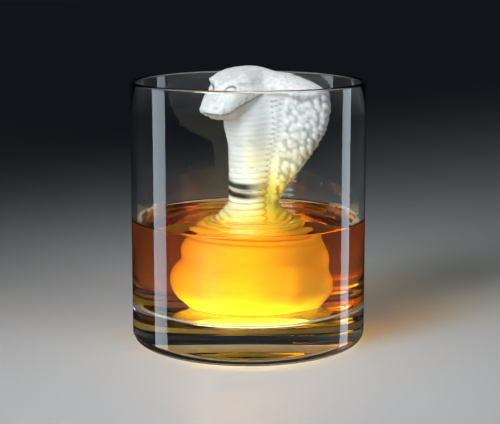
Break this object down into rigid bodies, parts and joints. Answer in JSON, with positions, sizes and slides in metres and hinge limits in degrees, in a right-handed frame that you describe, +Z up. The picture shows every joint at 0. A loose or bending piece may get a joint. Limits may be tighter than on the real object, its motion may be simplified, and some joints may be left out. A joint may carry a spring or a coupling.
{
  "type": "whisky tumbler with molded ice",
  "caption": "Straight-sided rocks tumbler with a heavy base, part filled with whisky around one cast piece of ice shaped as a rearing hooded cobra; the ice turns with the drink and lifts out.",
  "frame": {"origin": "middle of the tumbler's foot, on the surface it stands on", "axes": "+Z up along the tumbler's axis; the cobra faces -Y"},
  "size_m": [0.084, 0.084, 0.0989],
  "materials": {
    "clear_glass": "polished",
    "amber_whisky": "polished",
    "frosted_ice": "satin"
  },
  "bodies": {
    "tumbler": {"tumbler": "clear_glass"},
    "whisky": {"whisky": "amber_whisky"},
    "ice": {"ice_cobra": "frosted_ice"}
  },
  "joints": [
    {"name": "swirl", "type": "hinge", "parent": "tumbler", "child": "whisky", "pos_m": [0, 0, 0.013], "axis": [0, 0, 1], "continuous": true},
    {"name": "ice_lift", "type": "slide", "parent": "whisky", "child": "ice", "axis": [0, 0, 1], "range_m": [0, 0.086], "deforming": ["whisky"]}
  ]
}
